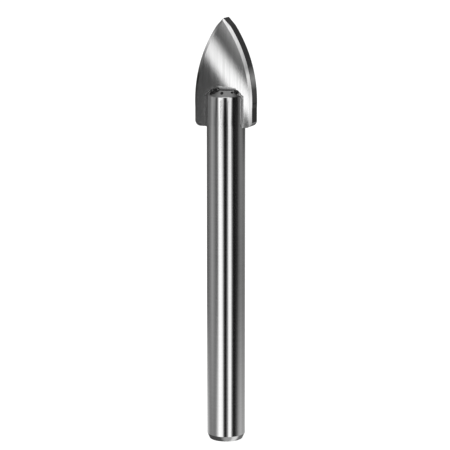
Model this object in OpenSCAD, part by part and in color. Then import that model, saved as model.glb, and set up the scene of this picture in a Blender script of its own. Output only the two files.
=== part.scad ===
// Glass and tile drill bit: a spear-shaped carbide plate brazed into a slotted round steel shank.
// Millimetres, +Z up. The bit stands on its foot, with the origin at the centre of the foot.
// The plate is wide along X, and its two faces look along -Y and +Y.

/* [Shank] */
// Diameter of the round shank that the chuck grips
shank_d = 6.3; // [5:0.05:9]
// Length of the shank, from its foot to the tops of the two prongs
shank_l = 58.8; // [40:0.1:120]
// Height of the steep chamfer round the foot
foot_chamfer_h = 0.9; // [0.2:0.05:2]
// How far that chamfer draws the foot in
foot_chamfer_w = 0.4; // [0.1:0.05:1]
// Chamfer round the tops of the prongs
prong_chamfer = 0.9; // [0.2:0.05:1.2]
// How far the prongs are ground in at their tops, where spilt braze is cleaned off
prong_taper = 0.06; // [0.02:0.01:0.1]

/* [Tip seat] */
// Depth of the slot across the top of the shank
slot_depth = 6.2; // [4:0.1:10]
// Thickness of the braze film between the plate and the slot
braze_gap = 0.1; // [0.05:0.01:0.2]
// Leg of the braze fillets where the plate leaves the prongs
fillet_leg = 0.25; // [0.2:0.05:0.6]

/* [Carbide plate] */
// Cutting diameter across the two lips
tip_w = 10; // [8:0.1:16]
// Thickness of the plate
tip_t = 2; // [1.4:0.05:2.6]
// Height of the plate, from its lower edge to the chisel edge
tip_h = 17.8; // [15.5:0.1:26]
// Length of the spear point, from the chisel edge to the full width
point_l = 13.6; // [9:0.1:16]
// Width of the blunt point, where the curved lips start
point_w = 2.3; // [1:0.1:3]
// Included angle of the blunt point
point_angle = 82; // [60:1:100]
// Relief angle of the walls behind the two lips
relief_angle = 13; // [6:1:22]
// How far the straight sides lie inside the full width
side_relief = 0.03; // [0.02:0.01:0.1]
// Radius of the lower corners
corner_r = 1.1; // [0.3:0.1:1.4]
// Width of the bevel along each trailing edge
bevel_w = 0.5; // [0.2:0.05:0.8]
// Slope of that bevel from the face of the plate
bevel_angle = 24; // [10:1:40]
// Width of the honed land along each cutting lip
land_w = 0.45; // [0.2:0.05:0.8]
// Slope of that land from the face of the plate
land_angle = 14; // [5:1:25]

/* [Hidden] */
$fn = 96;
// How far a cutting shape runs past what it cuts
past = 1;
// Angle at which the round of a lower corner meets the edges beside it
corner_meet = 14;
// Radius of the hollow in the braze fillets, in legs of the fillet
hollow_legs = 4;

shank_r = shank_d / 2;
prong_r = shank_r - prong_taper;
prong_top_r = prong_r - prong_chamfer;
slot_floor_z = shank_l - slot_depth;
slot_w = tip_t + 2 * braze_gap;

tip_base_z = slot_floor_z + braze_gap;
apex_z = tip_base_z + tip_h;
shoulder_z = apex_z - point_l;

// The walls of the plate lean by the relief angle, and it is widest at the foot of the land
land_d = land_w * tan(land_angle) / (1 + tan(relief_angle) * tan(land_angle));
lead_x = tip_w / 2 + land_d * tan(relief_angle);
trail_x = lead_x - tip_t * tan(relief_angle);
// The outline of the plate is drawn square to that lean
half_w = (lead_x - tip_t / 2 * tan(relief_angle)) * cos(relief_angle);
point_half_w = point_w / 2;
point_drop = point_half_w / tan(point_angle / 2);
// Each lip is an arc from the blunt point that runs straight down where it reaches the full width
lip_step = half_w - point_half_w;
lip_rise = point_l - point_drop;
lip_r = (lip_step * lip_step + lip_rise * lip_rise) / (2 * lip_step);

// Radius of that arc as it lies in the face
edge_r = lip_r * cos(relief_angle);

// Braze fillets: their corners, and the points where they meet the plate and run into the prongs
fillet_r = hollow_legs * fillet_leg;
seat_half_l = sqrt(shank_r * shank_r - tip_t * tip_t / 4);
fillet_turn = asin(tip_t / 2 / shank_r) + fillet_leg / shank_r * 180 / PI;
seat_corner = [seat_half_l, -tip_t / 2];
on_plate = seat_corner + [fillet_leg, 0];
in_shank = (prong_r - braze_gap / 2) * [cos(fillet_turn), -sin(fillet_turn)];
prong_corner = [-tip_t / 2, shank_l];
on_prong = prong_corner - [fillet_leg, 0];
above_prong = prong_corner + [0, fillet_leg];

// Puts an XY outline upright in the XZ plane, with its depth centred on Y
module upright(depth) {
    rotate([90, 0, 0]) linear_extrude(height = depth, center = true) children();
}

// Repeats a shape of the front face on the back face, by half a turn about the axis
module both_faces() {
    for (turn = [0, 180]) rotate([0, 0, turn]) children();
}

// The whole round of the shank, with both chamfers and no slot
module shank_round() {
    rotate_extrude() polygon([
        [0, 0],
        [shank_r - foot_chamfer_w, 0],
        [shank_r, foot_chamfer_h],
        [shank_r, slot_floor_z],
        [prong_r, shank_l - prong_chamfer],
        [prong_top_r, shank_l],
        [0, shank_l]
    ]);
}

// The slot across the top of the shank
module slot_space() {
    translate([-shank_d, -slot_w / 2, slot_floor_z]) cube([2 * shank_d, slot_w, slot_depth + past]);
}

// The shank as it is once slotted
module slotted_shank() {
    difference() {
        shank_round();
        slot_space();
    }
}

// The space that the plate takes inside the slot
module plate_in_slot() {
    translate([-shank_d, -tip_t / 2, tip_base_z]) cube([2 * shank_d, tip_t, slot_depth + past]);
}

// What the round of the right lower corner takes away
module corner_waste() {
    meet = corner_r * cos(corner_meet);
    translate([half_w - side_relief - meet, tip_base_z - past]) difference() {
        square([meet + past, meet + past]);
        translate([0, meet + past]) circle(corner_r);
    }
}

// Outline of the plate: two curved lips, a blunt point, straight sides and round lower corners
module spear_outline() {
    side = half_w - side_relief;
    difference() {
        union() {
            intersection() {
                translate([half_w - lip_r, shoulder_z]) circle(lip_r);
                translate([lip_r - half_w, shoulder_z]) circle(lip_r);
                polygon([
                    [0, apex_z],
                    [tip_h * tan(point_angle / 2), tip_base_z],
                    [-tip_h * tan(point_angle / 2), tip_base_z]
                ]);
            }
            translate([-side, tip_base_z]) square([2 * side, shoulder_z - tip_base_z]);
        }
        corner_waste();
        mirror([1, 0]) corner_waste();
    }
}

// Everything inside a sloped cut along the right edge of the front face: round its arc, then straight down
module inside_cut(edge_x, width, angle) {
    deep = tip_t / 2 + past;
    run = 1 / tan(angle);
    front_r = edge_r - width - past * run;
    back_r = front_r + 2 * deep * run;
    centre_x = edge_x - edge_r;
    intersection() {
        translate([centre_x, -deep, shoulder_z]) rotate([-90, 0, 0])
            cylinder(h = 2 * deep, r1 = front_r, r2 = back_r);
        translate([-tip_w, -deep - past, shoulder_z]) cube([4 * tip_w, 2 * (deep + past), tip_h]);
    }
    translate([0, 0, tip_base_z - past]) linear_extrude(height = shoulder_z - tip_base_z + past) polygon([
        [-tip_w, -deep],
        [centre_x + front_r, -deep],
        [centre_x + back_r, deep],
        [-tip_w, deep]
    ]);
}

// Everything inside the trailing bevel and the lip land of the front face
module inside_cuts() {
    intersection() {
        inside_cut(trail_x, bevel_w, bevel_angle);
        mirror([1, 0, 0]) inside_cut(lead_x, land_w, land_angle);
    }
}

// A triangle from a root to two points on either side of a corner, with a hollow third side
module hollow_fillet(root, corner, start, end) {
    middle = (start + end) / 2;
    outward = (middle - corner) / norm(middle - corner);
    half_chord = norm(end - start) / 2;
    difference() {
        polygon([root, start, end]);
        translate(middle + outward * sqrt(fillet_r * fillet_r - half_chord * half_chord)) circle(fillet_r);
    }
}

// Braze fillet up the corner between the right end of the front prong and the plate
module side_fillet() {
    difference() {
        translate([0, 0, tip_base_z]) linear_extrude(height = shank_l - prong_chamfer - tip_base_z)
            hollow_fillet(seat_corner - [fillet_leg, 0], seat_corner, on_plate, in_shank);
        slotted_shank();
    }
}

// Braze fillet along the top of the front prong
module top_fillet() {
    intersection() {
        rotate([90, 0, 90]) linear_extrude(height = shank_d, center = true)
            hollow_fillet(prong_corner, prong_corner, on_prong, above_prong);
        translate([0, 0, shank_l - past]) cylinder(h = fillet_leg + 2 * past, r = prong_top_r);
    }
}

module shank() {
    color("silver") slotted_shank();
}

module carbide_tip() {
    color("darkgray") intersection() {
        translate([-tip_w, -tip_t / 2, tip_base_z - past]) cube([2 * tip_w, tip_t, tip_h + 2 * past]);
        rotate([0, 0, -relief_angle]) upright(2 * tip_w) spear_outline();
        inside_cuts();
        rotate([0, 0, 180]) inside_cuts();
    }
}

module braze_joint() {
    color("lightgray") union() {
        difference() {
            intersection() {
                shank_round();
                slot_space();
            }
            plate_in_slot();
        }
        both_faces() {
            side_fillet();
            mirror([1, 0, 0]) side_fillet();
            top_fillet();
        }
    }
}

shank();
carbide_tip();
braze_joint();
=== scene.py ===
import math
import bpy
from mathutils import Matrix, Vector


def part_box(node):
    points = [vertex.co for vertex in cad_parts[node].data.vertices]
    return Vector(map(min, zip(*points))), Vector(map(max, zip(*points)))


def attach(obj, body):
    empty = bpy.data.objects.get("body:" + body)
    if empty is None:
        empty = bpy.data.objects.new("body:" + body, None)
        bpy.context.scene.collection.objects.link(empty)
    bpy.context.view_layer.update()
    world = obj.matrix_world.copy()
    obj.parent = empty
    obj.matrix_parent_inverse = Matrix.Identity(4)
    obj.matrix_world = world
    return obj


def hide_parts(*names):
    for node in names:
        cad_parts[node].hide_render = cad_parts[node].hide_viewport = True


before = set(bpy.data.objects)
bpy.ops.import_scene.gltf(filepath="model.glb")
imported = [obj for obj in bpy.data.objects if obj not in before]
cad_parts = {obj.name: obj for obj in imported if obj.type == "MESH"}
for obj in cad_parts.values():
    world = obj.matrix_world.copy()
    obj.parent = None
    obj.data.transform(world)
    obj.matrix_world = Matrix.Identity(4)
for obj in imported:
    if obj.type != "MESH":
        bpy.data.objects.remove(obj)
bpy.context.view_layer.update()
print("frame loaded:", sorted(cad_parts))

# sizes below are in mm and angles in degrees, apart from the lamp and the floor, which are in metres
mm = 0.001
white = "#FFFFFF"
mergeWithin = 0.002  # corners of the CAD triangles that lie closer than this are one


# a colour code as linear light, by the sRGB curve
def hexToLinear(code):
    channels = [int(code[i:i + 2], 16) / 255 for i in (1, 3, 5)]
    return [c / 12.92 if c <= 0.04045 else ((c + 0.055) / 1.055) ** 2.4 for c in channels] + [1]


def addNode(tree, kind, settings=None, links=None):
    node = tree.nodes.new(kind)
    for name, value in (settings or {}).items():
        if isinstance(name, str) and hasattr(node, name):
            setattr(node, name, value)
        else:
            node.inputs[name].default_value = value
    for socket, source in (links or {}).items():
        tree.links.new(source, node.inputs[socket])
    return node


def fillRamp(ramp, stops):
    while len(ramp.elements) > 1:
        ramp.elements.remove(ramp.elements[-1])
    first = ramp.elements[0]
    first.position, first.color = stops[0][0], hexToLinear(stops[0][1])
    for place, code in stops[1:]:
        ramp.elements.new(place).color = hexToLinear(code)


def newMaterial(name):
    material = bpy.data.materials.new(name)
    material.use_nodes = True
    material.node_tree.nodes.clear()
    return material, material.node_tree


def giveMaterial(piece, material):
    piece.data.materials.clear()
    piece.data.materials.append(material)


def deselectAll():
    if bpy.context.mode != "OBJECT":
        bpy.ops.object.mode_set(mode="OBJECT")
    bpy.ops.object.select_all(action="DESELECT")


def makeActive(piece):
    deselectAll()
    piece.select_set(True)
    bpy.context.view_layer.objects.active = piece


def applyModifier(piece, kind, settings):
    modifier = piece.modifiers.new(kind.lower(), kind)
    for name, value in settings.items():
        setattr(modifier, name, value)
    bpy.ops.object.modifier_apply(modifier=modifier.name)


# a copy of a CAD node that can be reworked, with its loose triangles joined up
def copyOfNode(name, pieceName):
    makeActive(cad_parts[name])
    bpy.ops.object.duplicate()
    piece = bpy.context.object
    piece.name = pieceName
    piece.parent = None
    for key in list(piece.keys()):
        del piece[key]
    bpy.ops.object.mode_set(mode="EDIT")
    bpy.ops.mesh.select_all(action="SELECT")
    bpy.ops.mesh.customdata_custom_splitnormals_clear()
    bpy.ops.mesh.remove_doubles(threshold=mergeWithin * mm)
    bpy.ops.object.mode_set(mode="OBJECT")
    return piece


# clears the lines across flat faces, breaks the sharp edges and shades the faces by their area
def breakEdges(piece, spec):
    bpy.ops.object.mode_set(mode="EDIT")
    bpy.ops.mesh.select_all(action="SELECT")
    bpy.ops.mesh.dissolve_limited(angle_limit=math.radians(spec["flatWithin"]))
    bpy.ops.object.mode_set(mode="OBJECT")
    applyModifier(piece, "BEVEL", {"limit_method": "ANGLE", "angle_limit": math.radians(spec["breakOver"]),
                                   "width": spec["edge"] * mm, "segments": spec["edgeSteps"],
                                   "use_clamp_overlap": False})
    bpy.ops.object.shade_smooth_by_angle(angle=math.radians(spec["smoothUnder"]))
    applyModifier(piece, "WEIGHTED_NORMAL", {"weight": spec["areaWeight"], "keep_sharp": True})


# the turn that points a camera or a lamp from its place at an aim
def turnTowards(place, aim):
    return (Vector(aim) - Vector(place)).to_track_quat("-Z", "Y").to_euler()


# camera: a long lens a little above the bit, 15 degrees round from the plate's face
cameraSet = {"turn": 15, "away": 426.6, "height": 130, "aimHeight": 36.2, "aimAside": -0.17,
             "lens": 213.1, "sensor": 36, "nearest": 10}


def makeCamera(spec):
    turn = math.radians(spec["turn"])
    place = Vector((spec["away"] * math.sin(turn), -spec["away"] * math.cos(turn), spec["height"])) * mm
    aside = spec["aimAside"]
    aim = Vector((aside * math.cos(turn), aside * math.sin(turn), spec["aimHeight"])) * mm
    bpy.ops.object.camera_add(location=place)
    camera = bpy.context.object
    camera.rotation_euler = turnTowards(place, aim)
    camera.data.lens = spec["lens"]
    camera.data.sensor_width = spec["sensor"]
    camera.data.clip_start = spec["nearest"] * mm
    bpy.context.scene.camera = camera
    return camera


deselectAll()
camera = makeCamera(cameraSet)
print("camera placed")

# studio: softboxes and black flags stand round the bit, given by azimuth from the plate's face
# a thin dark flag at 140 degrees keeps the plate's wall dark under its shoulder
wallFlag = {138.6: "#3C3C3C", 140: "#3C3C3C", 140.8: "#3C3C3C"}
studioSet = {
    "ring": {
        -180: "#A0A0A0", -162: "#A0A0A0", -150: "#5A5A5A", -122: "#545454", -96: "#767676", -76: "#949494",
        -62: "#7C7C7C", -44: "#525252", -36: "#5E5E5E", -26: "#F0F0F0", -21: "#FFFFFF", -10: "#F0F0F0",
        1: "#545454", 8: "#080808", 14: "#080808", 24: "#767676", 31: "#EAEAEA", 42: "#FFFFFF",
        52: "#646464", 60: "#141414", 72: "#121212", 86: "#303030", 100: "#5C5C5C", 115: "#707070",
        140: "#6C6C6C", 166: "#707070", 180: "#A0A0A0",
    },
    "dome": {
        -180: "#585858", -130: "#4A4A4A", -60: "#606060", -44: "#6C6C6C", -32: "#6C6C6C", -14: "#B0B0B0",
        -2: "#E8E8E8", 36: "#E8E8E8", 48: "#5A5A5A", 60: "#343434", 150: "#343434", 180: "#585858",
    },
    "under": {
        -180: "#484848", -110: "#404040", -40: "#484848", -8: "#888888", 15: "#969696", 62: "#969696",
        85: "#D0D0D0", 110: "#D0D0D0", 131: "#686868", 165: "#606060", 180: "#484848",
    },
    # elevation, which of the three goes round there, and what differs at that height
    "heights": [
        (-27, "under", {}),
        (-18.5, "ring", {
            -162: "#F0F0F0", -150: "#E0E0E0", -122: "#B0B0B0", -96: "#727272", -76: "#747474",
            -62: "#727272", -52: "#808080", -44: "#B8B8B8", -36: "#E8E8E8", -26: "#FFFFFF", -8: "#FAFAFA",
            72: "#161616", 86: "#707070", 100: "#A0A0A0", 115: "#AAAAAA", 140: "#A0A0A0", 166: "#A4A4A4",
        }),
        (-16.9, "ring", {
            -162: "#F0F0F0", -150: "#E0E0E0", -122: "#ACACAC", -96: "#727272", -76: "#747474",
            -62: "#727272", -52: "#787878", -44: "#A0A0A0", -36: "#D8D8D8", -26: "#FFFFFF", -8: "#FAFAFA",
            72: "#161616", 86: "#6C6C6C", 100: "#9C9C9C", 115: "#B0B0B0", 140: "#989898", 166: "#9C9C9C",
        }),
        (-14, "ring", {138: "#6C6C6C", **wallFlag, 141.4: "#6C6C6C"}),
        (-12.4, "ring", {138: "#6C6C6C", **wallFlag, 141.4: "#6C6C6C"}),
        (-11, "ring", {
            -44: "#585858", -36: "#7A7A7A", -10: "#E0E0E0", 1: "#4A4A4A", 100: "#606060", 115: "#7A7A7A",
            138: "#787878", **wallFlag, 141.4: "#787878", 166: "#7C7C7C",
        }),
        # another thin flag, at 33.5 degrees, dims the foot of the plate's bevel
        (-10.4, "ring", {
            -150: "#484848", -122: "#4A4A4A", -36: "#8C8C8C", -14: "#FFFFFF", -10: "#BCBCBC", 1: "#343434",
            31: "#C8C8C8", 32.2: "#C8C8C8", 33.5: "#000000", 34.8: "#D0D0D0", 42: "#E4E4E4", 133: "#505050",
            140: "#202020", 166: "#242424",
        }),
        (-9.9, "ring", {
            -150: "#404040", -122: "#444444", -96: "#6C6C6C", -44: "#3A3A3A", -36: "#909090",
            -14: "#FFFFFF", -10: "#B8B8B8", 1: "#303030", 42: "#F0F0F0", 52: "#4A4A4A", 133: "#505050",
            140: "#383838", 166: "#3C3C3C",
        }),
        (-5, "ring", {
            -44: "#1C1C1C", -36: "#303030", 31: "#C4C4C4", 42: "#D8D8D8", 133: "#484848", 140: "#404040",
            166: "#444444",
        }),
        (-0.5, "ring", {-44: "#707070", -36: "#888888", 31: "#D4D4D4", 140: "#848484"}),
        (2.5, "dome", {
            -44: "#CCCCCC", -32: "#CCCCCC", -2: "#A4A4A4", 36: "#A4A4A4", 120: "#444444", 140: "#626262",
        }),
        (5, "dome", {-2: "#B8B8B8", 36: "#B8B8B8"}),
        (16, "dome", {}),
        (50, "dome", {}),
    ],
    "overhead": "#7C7C7C", "overheadFrom": 70,
    "glossLevel": 1.42, "ambient": 0.85,
    "keyPlace": (-0.35, -0.55, 0.75), "keyAim": (0, 0, 0.03), "keySize": 0.5, "keyPower": 9,
}


def makeStudio(spec):
    world = bpy.data.worlds.new("studioRing")
    bpy.context.scene.world = world
    world.use_nodes = True
    tree = world.node_tree
    tree.nodes.clear()
    ray = addNode(tree, "ShaderNodeTexCoord")
    part = addNode(tree, "ShaderNodeSeparateXYZ", links={0: ray.outputs["Generated"]})
    front = addNode(tree, "ShaderNodeMath", {"operation": "MULTIPLY", 1: -1.0}, {0: part.outputs["Y"]})
    turn = addNode(tree, "ShaderNodeMath", {"operation": "ARCTAN2"},
                   {0: part.outputs["X"], 1: front.outputs[0]})
    share = addNode(tree, "ShaderNodeMapRange", {"From Min": -math.pi, "From Max": math.pi},
                    {"Value": turn.outputs[0]})
    rise = addNode(tree, "ShaderNodeMath", {"operation": "ARCSINE"}, {0: part.outputs["Z"]})
    overhead = (spec["overheadFrom"], None, {-180: spec["overhead"], 180: spec["overhead"]})
    colour, below = None, None
    for height, name, changes in spec["heights"] + [overhead]:
        bands = {**spec.get(name, {}), **changes}
        ring = addNode(tree, "ShaderNodeValToRGB", links={"Fac": share.outputs["Result"]})
        fillRamp(ring.color_ramp, [((azimuth + 180) / 360, bands[azimuth]) for azimuth in sorted(bands)])
        if colour is None:
            colour = ring.outputs["Color"]
        else:
            step = addNode(tree, "ShaderNodeMapRange",
                           {"From Min": math.radians(below), "From Max": math.radians(height)},
                           {"Value": rise.outputs[0]})
            colour = addNode(tree, "ShaderNodeMix", {"data_type": "RGBA"},
                             {0: step.outputs["Result"], 6: colour, 7: ring.outputs["Color"]}).outputs[2]
        below = height
    path = addNode(tree, "ShaderNodeLightPath")
    shiny = addNode(tree, "ShaderNodeMath", {"operation": "MAXIMUM"},
                    {0: path.outputs["Is Glossy Ray"], 1: path.outputs["Is Transmission Ray"]})
    plain = addNode(tree, "ShaderNodeBackground",
                    {"Color": hexToLinear(white), "Strength": spec["ambient"]})
    mirrored = addNode(tree, "ShaderNodeBackground", {"Strength": spec["glossLevel"]}, {"Color": colour})
    seen = addNode(tree, "ShaderNodeBackground", {"Color": hexToLinear(white), "Strength": 1.0})
    first = addNode(tree, "ShaderNodeMixShader",
                    links={0: shiny.outputs[0], 1: plain.outputs[0], 2: mirrored.outputs[0]})
    last = addNode(tree, "ShaderNodeMixShader",
                   links={0: path.outputs["Is Camera Ray"], 1: first.outputs[0], 2: seen.outputs[0]})
    addNode(tree, "ShaderNodeOutputWorld", links={"Surface": last.outputs[0]})

    bpy.ops.object.light_add(type="AREA", location=spec["keyPlace"])
    key = bpy.context.object
    key.name = "keyLight"
    key.data.energy = spec["keyPower"]
    key.data.size = spec["keySize"]
    key.rotation_euler = turnTowards(spec["keyPlace"], spec["keyAim"])
    key.visible_glossy = False


deselectAll()
makeStudio(studioSet)

# floor: pale paper that goes on to the horizon and keeps a soft shadow of the bit
floorSet = {"size": 60.0, "seenLevel": 0.93, "paper": "#F2F2F2", "shadowShare": 0.16}


def makeFloor(spec):
    bpy.ops.mesh.primitive_plane_add(size=spec["size"], location=(0, 0, 0))
    floor = bpy.context.object
    floor.name = "paperFloor"
    material, tree = newMaterial("palePaper")
    path = addNode(tree, "ShaderNodeLightPath")
    paper = addNode(tree, "ShaderNodeBsdfDiffuse", {"Color": hexToLinear(spec["paper"])})
    glow = addNode(tree, "ShaderNodeEmission", {"Color": hexToLinear(white), "Strength": spec["seenLevel"]})
    dim = addNode(tree, "ShaderNodeBsdfDiffuse", {"Color": [spec["shadowShare"]] * 3 + [1]})
    both = addNode(tree, "ShaderNodeAddShader", links={0: glow.outputs[0], 1: dim.outputs[0]})
    pick = addNode(tree, "ShaderNodeMixShader",
                   links={0: path.outputs["Is Camera Ray"], 1: paper.outputs[0], 2: both.outputs[0]})
    addNode(tree, "ShaderNodeOutputMaterial", links={"Surface": pick.outputs[0]})
    giveMaterial(floor, material)
    floor.visible_glossy = False


deselectAll()
makeFloor(floorSet)

# face card: a graded reflector that the plate's flat face mirrors, with a white strip on the slant
# its sizes are where they show on the face, and the notch lets the prongs mirror the softbox behind it
cardSet = {
    "away": 260, "x": (-7.2, 6.6), "z": (50.8, 72.0), "notchX": (-2.5, 2.9), "notchTop": 58.2, "slant": 36,
    # place across the strip, and the grey there
    "strip": [
        (27, "#404040"), (33.9, "#424242"), (34.75, "#585858"), (35.7, "#E6E6E6"), (36.3, "#F2F2F2"),
        (37.4, "#E4E4E4"), (38.6, "#585858"), (39.2, "#545454"), (39.9, "#6E6E6E"), (40.3, "#808080"),
        (40.8, "#989898"), (44, "#989898"),
    ],
    # the card's level changes along the strip: place and level at its low and its high end
    "fade": ((47.5, 1.66), (55.5, 1.32)),
}


def makeFaceCard(spec):
    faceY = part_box("carbide_tip")[0].y
    eye = camera.location
    share = spec["away"] * mm / (faceY - eye.y)

    # the place on the card that the camera sees mirrored at a place on the face, measured along one
    # direction, with the camera's own place measured along it too
    def onCard(place, eyePlace):
        return place * mm * (1 + share) - share * eyePlace

    left, right = [onCard(x, eye.x) for x in spec["x"]]
    notchLeft, notchRight = [onCard(x, eye.x) for x in spec["notchX"]]
    foot, top = [onCard(z, eye.z) for z in spec["z"]]
    notchTop = onCard(spec["notchTop"], eye.z)
    middle = ((left + right) / 2, faceY - spec["away"] * mm, (foot + top) / 2)
    bpy.ops.mesh.primitive_plane_add(size=1, location=middle, rotation=(math.radians(-90), 0, 0))
    card = bpy.context.object
    card.name = "faceCard"
    card.scale = (right - left, top - foot, 1)
    bpy.ops.object.transform_apply(location=True, rotation=True, scale=True)
    bpy.ops.object.mode_set(mode="EDIT")
    cuts = [((notchLeft, 0, 0), (1, 0, 0)), ((notchRight, 0, 0), (1, 0, 0)), ((0, 0, notchTop), (0, 0, 1))]
    for place, normal in cuts:
        bpy.ops.mesh.select_all(action="SELECT")
        bpy.ops.mesh.bisect(plane_co=place, plane_no=normal)
    bpy.ops.mesh.select_all(action="DESELECT")
    bpy.ops.object.mode_set(mode="OBJECT")
    for face in card.data.polygons:
        face.select = notchLeft < face.center.x < notchRight and face.center.z < notchTop
    bpy.ops.object.mode_set(mode="EDIT")
    bpy.ops.mesh.delete(type="FACE")
    bpy.ops.object.mode_set(mode="OBJECT")

    material, tree = newMaterial("gradedCard")
    spot = addNode(tree, "ShaderNodeTexCoord")
    across = (math.cos(math.radians(spec["slant"])), 0, math.sin(math.radians(spec["slant"])))
    lean = addNode(tree, "ShaderNodeVectorMath", {"operation": "DOT_PRODUCT", 1: across},
                   {0: spot.outputs["Object"]})
    low, high = spec["strip"][0][0], spec["strip"][-1][0]
    eyeAcross = across[0] * eye.x + across[2] * eye.z
    place = addNode(tree, "ShaderNodeMapRange",
                    {"From Min": onCard(low, eyeAcross), "From Max": onCard(high, eyeAcross)},
                    {"Value": lean.outputs["Value"]})
    grade = addNode(tree, "ShaderNodeValToRGB", links={"Fac": place.outputs["Result"]})
    fillRamp(grade.color_ramp, [((at - low) / (high - low), code) for at, code in spec["strip"]])
    along = (-across[2], 0, across[0])
    rise = addNode(tree, "ShaderNodeVectorMath", {"operation": "DOT_PRODUCT", 1: along},
                   {0: spot.outputs["Object"]})
    (low, lowLevel), (high, highLevel) = spec["fade"]
    eyeAlong = along[0] * eye.x + along[2] * eye.z
    level = addNode(tree, "ShaderNodeMapRange",
                    {"From Min": onCard(low, eyeAlong), "From Max": onCard(high, eyeAlong),
                     "To Min": lowLevel, "To Max": highLevel}, {"Value": rise.outputs["Value"]})
    glow = addNode(tree, "ShaderNodeEmission",
                   links={"Color": grade.outputs["Color"], "Strength": level.outputs["Result"]})
    addNode(tree, "ShaderNodeOutputMaterial", links={"Surface": glow.outputs[0]})
    giveMaterial(card, material)
    card.visible_camera = False
    card.visible_diffuse = False
    card.visible_shadow = False
    card.visible_transmission = False


deselectAll()
makeFaceCard(cardSet)
print("studio ready")

# shank: tool steel, centreless ground, so very fine rings run round it and it mirrors the studio in stripes
steelSet = {
    "edge": 0.07, "edgeSteps": 3, "flatWithin": 0.8, "breakOver": 30, "smoothUnder": 12, "areaWeight": 80,
    "colour": "#E6E6E6", "ringColour": "#D8D8D8", "roughness": (0.09, 0.14),
    # real grinding rings are some 0.02 mm apart, and are drawn coarser here so that they show
    "ringSpacing": 0.22, "ringDrift": 0.02, "bump": 0.12, "bumpDepth": 0.004,
}


def groundSteel(spec):
    material, tree = newMaterial("groundToolSteel")
    spot = addNode(tree, "ShaderNodeTexCoord")
    ringScale = 1 / (spec["ringSpacing"] * mm)
    roundScale = ringScale * spec["ringDrift"]
    stretch = addNode(tree, "ShaderNodeMapping", {"Scale": (roundScale, roundScale, ringScale)},
                      {"Vector": spot.outputs["Object"]})
    rings = addNode(tree, "ShaderNodeTexNoise", {"Scale": 1.0, "Detail": 3.0, "Roughness": 0.6},
                    {"Vector": stretch.outputs["Vector"]})
    colour = addNode(tree, "ShaderNodeMix", {"data_type": "RGBA", 6: hexToLinear(spec["ringColour"]),
                                             7: hexToLinear(spec["colour"])}, {0: rings.outputs["Fac"]})
    rough = addNode(tree, "ShaderNodeMapRange",
                    {"To Min": spec["roughness"][0], "To Max": spec["roughness"][1]},
                    {"Value": rings.outputs["Fac"]})
    bump = addNode(tree, "ShaderNodeBump", {"Strength": spec["bump"], "Distance": spec["bumpDepth"] * mm},
                   {"Height": rings.outputs["Fac"]})
    shader = addNode(tree, "ShaderNodeBsdfPrincipled", {"Metallic": 1.0},
                     {"Base Color": colour.outputs[2], "Roughness": rough.outputs["Result"],
                      "Normal": bump.outputs["Normal"]})
    addNode(tree, "ShaderNodeOutputMaterial", links={"Surface": shader.outputs[0]})
    return material


def makeShank(spec):
    shank = copyOfNode("shank", "toolShank")
    breakEdges(shank, spec)
    giveMaterial(shank, groundSteel(spec))
    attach(shank, "root")
    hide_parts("shank")
    return shank


shank = makeShank(steelSet)
print("shank finished:", len(shank.data.polygons), "faces")

# plate: tungsten carbide ground on a fine diamond wheel, so it mirrors sharply behind faint lines
plateSet = {
    # only the keen edges are broken, by a hair, and the low ones of the land and the bevel stay crisp
    "edge": 0.05, "edgeSteps": 2, "flatWithin": 0.05, "breakOver": 30, "smoothUnder": 12, "areaWeight": 80,
    "colour": "#EEEEEE", "lineColour": "#C4C4C4", "roughness": (0.025, 0.038),
    # a fine wheel leaves lines some 0.01 mm apart up the plate, drawn coarser here so that they show
    "lineSpacing": 0.25, "lineDrift": 0.03,
}


def groundCarbide(spec):
    material, tree = newMaterial("groundTungstenCarbide")
    spot = addNode(tree, "ShaderNodeTexCoord")
    lineScale = 1 / (spec["lineSpacing"] * mm)
    upScale = lineScale * spec["lineDrift"]
    stretch = addNode(tree, "ShaderNodeMapping", {"Scale": (lineScale, lineScale, upScale)},
                      {"Vector": spot.outputs["Object"]})
    lines = addNode(tree, "ShaderNodeTexNoise", {"Scale": 1.0, "Detail": 2.0},
                    {"Vector": stretch.outputs["Vector"]})
    colour = addNode(tree, "ShaderNodeMix", {"data_type": "RGBA", 6: hexToLinear(spec["lineColour"]),
                                             7: hexToLinear(spec["colour"])}, {0: lines.outputs["Fac"]})
    rough = addNode(tree, "ShaderNodeMapRange",
                    {"To Min": spec["roughness"][0], "To Max": spec["roughness"][1]},
                    {"Value": lines.outputs["Fac"]})
    shader = addNode(tree, "ShaderNodeBsdfPrincipled", {"Metallic": 1.0},
                     {"Base Color": colour.outputs[2], "Roughness": rough.outputs["Result"]})
    addNode(tree, "ShaderNodeOutputMaterial", links={"Surface": shader.outputs[0]})
    return material


def makePlate(spec):
    plate = copyOfNode("carbide_tip", "spearPlate")
    breakEdges(plate, spec)
    giveMaterial(plate, groundCarbide(spec))
    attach(plate, "root")
    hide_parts("carbide_tip")
    return plate


plate = makePlate(plateSet)
print("plate finished:", len(plate.data.polygons), "faces")

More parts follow.
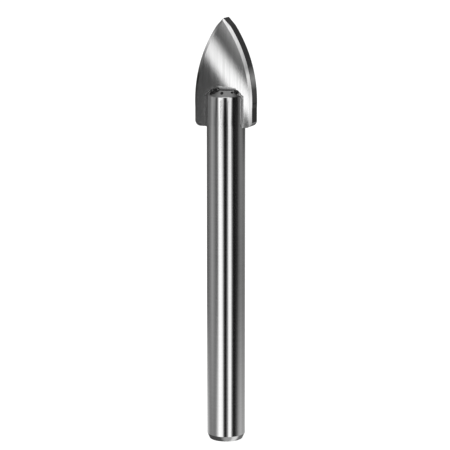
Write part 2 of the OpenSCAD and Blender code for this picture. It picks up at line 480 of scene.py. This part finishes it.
# braze: silver solder as it flowed, dull and a little lumpy, with burnt flux in blobs on the chamfers,
# coloured near-black, and the same near-black as painted shade in the corner above them
brazeSet = {
    # a blob: azimuth on the prong, place up the chamfer, half width, half length and height
    "blobs": [
        (-71, -0.62, 0.22, 0.28, 0.20), (-66, 0, 0.24, 0.62, 0.20), (-46, -0.08, 0.38, 0.36, 0.22),
        (-37, 0.28, 0.36, 0.42, 0.26), (-28, 0.64, 0.36, 0.32, 0.30), (-1, 0.20, 0.27, 0.30, 0.18),
        (38, 0.30, 0.24, 0.20, 0.10), (55, 0.24, 0.34, 0.38, 0.24), (67, 0, 0.20, 0.60, 0.18),
        (71, -0.62, 0.20, 0.26, 0.16),
    ],
    "backBlobs": [
        (-71, -0.62, 0.22, 0.28, 0.20), (-66, 0, 0.24, 0.62, 0.20), (-52, 0.05, 0.36, 0.42, 0.20),
        (-42, 0.2, 0.30, 0.30, 0.18), (6, 0.22, 0.26, 0.24, 0.16), (17, 0.1, 0.36, 0.36, 0.20),
        (50, -0.05, 0.34, 0.42, 0.19), (67, 0, 0.22, 0.60, 0.20), (71, -0.62, 0.20, 0.26, 0.16),
    ],
    # where the braze has washed up the face: middle, height above the prong, half length, half height
    # and thickness
    "washes": [
        (-0.72, 0.41, 0.66, 0.24, 0.10), (-0.1, 0.40, 0.8, 0.25, 0.10), (0.85, 0.26, 0.7, 0.20, 0.10),
        (1.5, 0.22, 0.5, 0.16, 0.10),
    ],
    # where it has run down the prong beside the right fillet: azimuth, distance from the axis,
    # depth below the prong's top, half width, thickness and half length
    "runs": [(66.5, 3.06, 2.8, 0.19, 0.15, 2.05), (66.5, 3.08, 4.3, 0.19, 0.15, 1.9)],
    # the CAD prongs' chamfer, with the radius at its middle
    "chamfer": 0.9, "chamferRadius": 2.64, "chamferSlope": 45,
    "lumpRounds": 3, "grow": 100, "voxel": 0.05, "wobble": 0.09, "wobbleSize": 0.6,
    "smooth": 0.5, "smoothRounds": 6, "keep": 0.25,
    "colour": "#E4E4E4", "dullColour": "#C4C4C4", "roughness": (0.44, 0.58),
    "grainSize": 0.3, "bump": 0.3, "bumpDepth": 0.02,
    # the near-black of the flux and of the painted shade comes in between two depths below the prong's top,
    # and fades out above it
    "fluxAndShade": "#202020", "fluxAndShadePale": "#545454", "fluxAndShadeFoot": (1.0, 0.85), "fluxAndShadeFade": 0.34,
    # spans along X over which its heap ends, it starts at the left, ends at the right, and its stain fades
    "heapX": (-0.98, -0.8), "heapLift": 0.25, "bareX": (-2.62, -2.25), "cleanX": (2.35, 2.65),
    "stainX": (-2.5, -2.05), "stain": 0.7,
}


def flowedBraze(spec, prongTop):
    material, tree = newMaterial("flowedSilverBraze")
    spot = addNode(tree, "ShaderNodeTexCoord")
    grain = addNode(tree, "ShaderNodeTexNoise",
                    {"Scale": 1 / (spec["grainSize"] * mm), "Detail": 4.0, "Roughness": 0.6},
                    {"Vector": spot.outputs["Object"]})
    metal = addNode(tree, "ShaderNodeMix", {"data_type": "RGBA", 6: hexToLinear(spec["dullColour"]),
                                            7: hexToLinear(spec["colour"])}, {0: grain.outputs["Fac"]})
    fluxAndShade = addNode(tree, "ShaderNodeMix", {"data_type": "RGBA", 6: hexToLinear(spec["fluxAndShade"]),
                                           7: hexToLinear(spec["fluxAndShadePale"])}, {0: grain.outputs["Fac"]})
    # the flux colour stays on the chamfers and goes on as painted shade into the corner above them, and is
    # heaped higher towards the left
    part = addNode(tree, "ShaderNodeSeparateXYZ", links={0: spot.outputs["Object"]})
    above = addNode(tree, "ShaderNodeMapRange", {"From Min": prongTop - spec["fluxAndShadeFoot"][0] * mm,
                                                 "From Max": prongTop - spec["fluxAndShadeFoot"][1] * mm},
                    {"Value": part.outputs["Z"]})
    lift = addNode(tree, "ShaderNodeMapRange",
                   {"From Min": spec["heapX"][0] * mm, "From Max": spec["heapX"][1] * mm,
                    "To Min": spec["heapLift"] * mm, "To Max": 0.0}, {"Value": part.outputs["X"]})
    lowered = addNode(tree, "ShaderNodeMath", {"operation": "SUBTRACT"},
                      {0: part.outputs["Z"], 1: lift.outputs["Result"]})
    under = addNode(tree, "ShaderNodeMapRange",
                    {"From Min": prongTop, "From Max": prongTop + spec["fluxAndShadeFade"] * mm,
                     "To Min": 1.0, "To Max": 0.0}, {"Value": lowered.outputs[0]})
    band = addNode(tree, "ShaderNodeMath", {"operation": "MULTIPLY"},
                   {0: above.outputs["Result"], 1: under.outputs["Result"]})
    # it stops short of both ends of the prongs, and a paler stain has run down the left one
    clean = addNode(tree, "ShaderNodeMapRange",
                    {"From Min": spec["cleanX"][0] * mm, "From Max": spec["cleanX"][1] * mm,
                     "To Min": 1.0, "To Max": 0.0}, {"Value": part.outputs["X"]})
    bare = addNode(tree, "ShaderNodeMapRange",
                   {"From Min": spec["bareX"][0] * mm, "From Max": spec["bareX"][1] * mm},
                   {"Value": part.outputs["X"]})
    ends = addNode(tree, "ShaderNodeMath", {"operation": "MULTIPLY"},
                   {0: clean.outputs["Result"], 1: bare.outputs["Result"]})
    patch = addNode(tree, "ShaderNodeMath", {"operation": "MULTIPLY"},
                    {0: band.outputs[0], 1: ends.outputs[0]})
    stain = addNode(tree, "ShaderNodeMapRange",
                    {"From Min": spec["stainX"][0] * mm, "From Max": spec["stainX"][1] * mm,
                     "To Min": spec["stain"], "To Max": 0.0}, {"Value": part.outputs["X"]})
    fluxedAndShaded = addNode(tree, "ShaderNodeMath", {"operation": "MAXIMUM"},
                     {0: patch.outputs[0], 1: stain.outputs["Result"]})
    # mixes in the near-black that stands for flux on the chamfers and paints shade in the corner above the
    # prongs
    colour = addNode(tree, "ShaderNodeMix", {"data_type": "RGBA"},
                     {0: fluxedAndShaded.outputs[0], 6: metal.outputs[2], 7: fluxAndShade.outputs[2]})
    rough = addNode(tree, "ShaderNodeMapRange",
                    {"To Min": spec["roughness"][0], "To Max": spec["roughness"][1]},
                    {"Value": grain.outputs["Fac"]})
    bump = addNode(tree, "ShaderNodeBump", {"Strength": spec["bump"], "Distance": spec["bumpDepth"] * mm},
                   {"Height": grain.outputs["Fac"]})
    shader = addNode(tree, "ShaderNodeBsdfPrincipled", {"Metallic": 1.0},
                     {"Base Color": colour.outputs[2], "Roughness": rough.outputs["Result"],
                      "Normal": bump.outputs["Normal"]})
    addNode(tree, "ShaderNodeOutputMaterial", links={"Surface": shader.outputs[0]})
    return material


# adds a rounded lump of the given half sizes to a piece
def addLump(piece, rounds, place, turn, size):
    bpy.ops.mesh.primitive_ico_sphere_add(subdivisions=rounds, radius=1, location=place, rotation=turn)
    lump = bpy.context.object
    lump.scale = [length * mm for length in size]
    bpy.ops.object.transform_apply(location=True, rotation=True, scale=True)
    piece.select_set(True)
    bpy.context.view_layer.objects.active = piece
    bpy.ops.object.join()


def makeBraze(spec):
    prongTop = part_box("shank")[1].z
    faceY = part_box("carbide_tip")[0].y
    braze = copyOfNode("braze_joint", "brazeBead")
    rounds = spec["lumpRounds"]
    slope = math.radians(spec["chamferSlope"])
    upward = Vector((0, 0, 1))
    for start, blobs in ((0, spec["blobs"]), (180, spec["backBlobs"])):
        side = math.cos(math.radians(start))
        for middle, up, halfLength, halfHeight, thick in spec["washes"]:
            place = (middle * side * mm, faceY * side, prongTop + up * mm)
            addLump(braze, rounds, place, (0, 0, 0), (halfLength, thick, halfHeight))
        for turn, reach, down, halfWidth, thick, halfLength in spec["runs"]:
            around = math.radians(start + turn)
            place = (reach * math.sin(around) * mm, -reach * math.cos(around) * mm, prongTop - down * mm)
            addLump(braze, rounds, place, (0, 0, around), (halfWidth, thick, halfLength))
        for turn, upSlope, halfWidth, halfLength, height in blobs:
            around = math.radians(start + turn)
            outward = Vector((math.sin(around), -math.cos(around), 0))
            place = outward * spec["chamferRadius"] * mm + upward * (prongTop - spec["chamfer"] / 2 * mm)
            place += (upward * math.sin(slope) - outward * math.cos(slope)) * upSlope * mm
            lean = (outward * math.cos(slope) + upward * math.sin(slope)).to_track_quat("Z", "Y")
            addLump(braze, rounds, place, lean.to_euler(), (halfWidth, halfLength, height))
    # the remesh needs larger numbers than a real bead has
    braze.scale = (spec["grow"],) * 3
    bpy.ops.object.transform_apply(location=False, rotation=False, scale=True)
    unit = mm * spec["grow"]
    applyModifier(braze, "REMESH", {"mode": "VOXEL", "voxel_size": spec["voxel"] * unit})
    lumps = bpy.data.textures.new("brazeLumps", "CLOUDS")
    lumps.noise_scale = spec["wobbleSize"] * unit
    applyModifier(braze, "DISPLACE", {"texture": lumps, "texture_coords": "LOCAL",
                                      "strength": spec["wobble"] * unit})
    applyModifier(braze, "SMOOTH", {"factor": spec["smooth"], "iterations": spec["smoothRounds"]})
    applyModifier(braze, "DECIMATE", {"ratio": spec["keep"]})
    braze.scale = (1 / spec["grow"],) * 3
    bpy.ops.object.transform_apply(location=False, rotation=False, scale=True)
    bpy.ops.object.shade_smooth()
    giveMaterial(braze, flowedBraze(spec, prongTop))
    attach(braze, "root")
    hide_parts("braze_joint")
    return braze


braze = makeBraze(brazeSet)
print("braze finished:", len(braze.data.polygons), "faces")

bpy.context.scene.view_settings.view_transform = "Standard"
